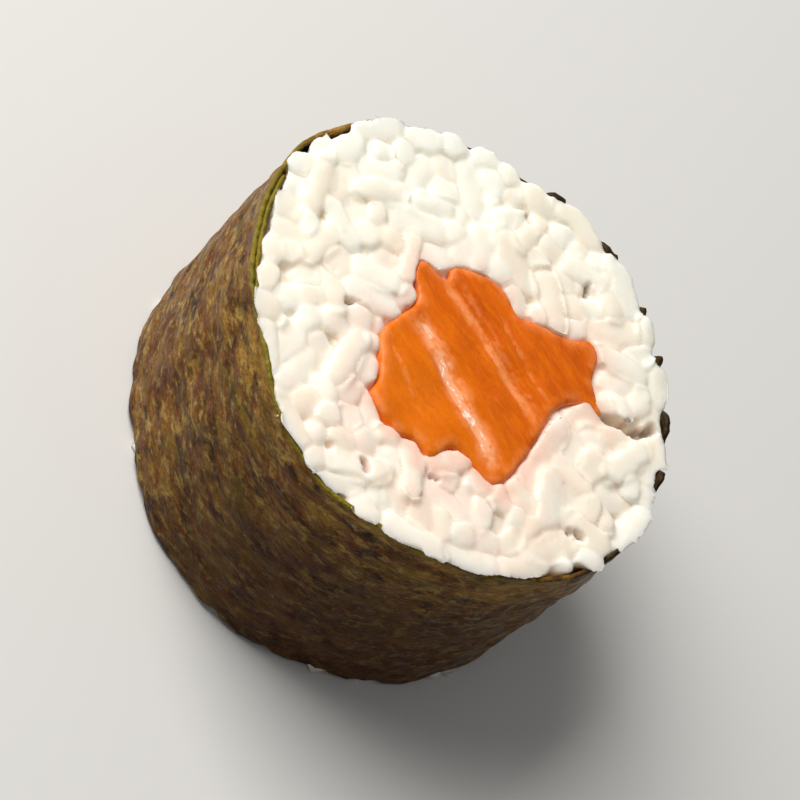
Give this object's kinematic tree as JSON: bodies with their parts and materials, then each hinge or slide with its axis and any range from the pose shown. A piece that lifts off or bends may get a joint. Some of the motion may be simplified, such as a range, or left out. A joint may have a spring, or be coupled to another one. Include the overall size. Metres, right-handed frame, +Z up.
{
  "type": "salmon maki roll piece",
  "caption": "Maki roll piece: a strip of raw salmon in vinegared rice, wrapped in a sheet of nori and cut across, standing on one cut face with the other face up.",
  "frame": {"origin": "the roll's axis at the cut face that the piece stands on", "axes": "+Z up along the roll's axis, towards the cut face that shows; -Y towards the side whose nori the picture shows; +X to the right of that"},
  "size_m": [0.0356, 0.0344, 0.0172],
  "materials": {
    "nori": "damp, finely crinkled, dark brown with olive patches",
    "rice": "moist, slightly translucent, warm white",
    "salmon": "wet, deep orange with pale lines of fat"
  },
  "bodies": {
    "root": {"nori": "nori", "rice": "rice", "salmon": "salmon"}
  },
  "joints": []
}
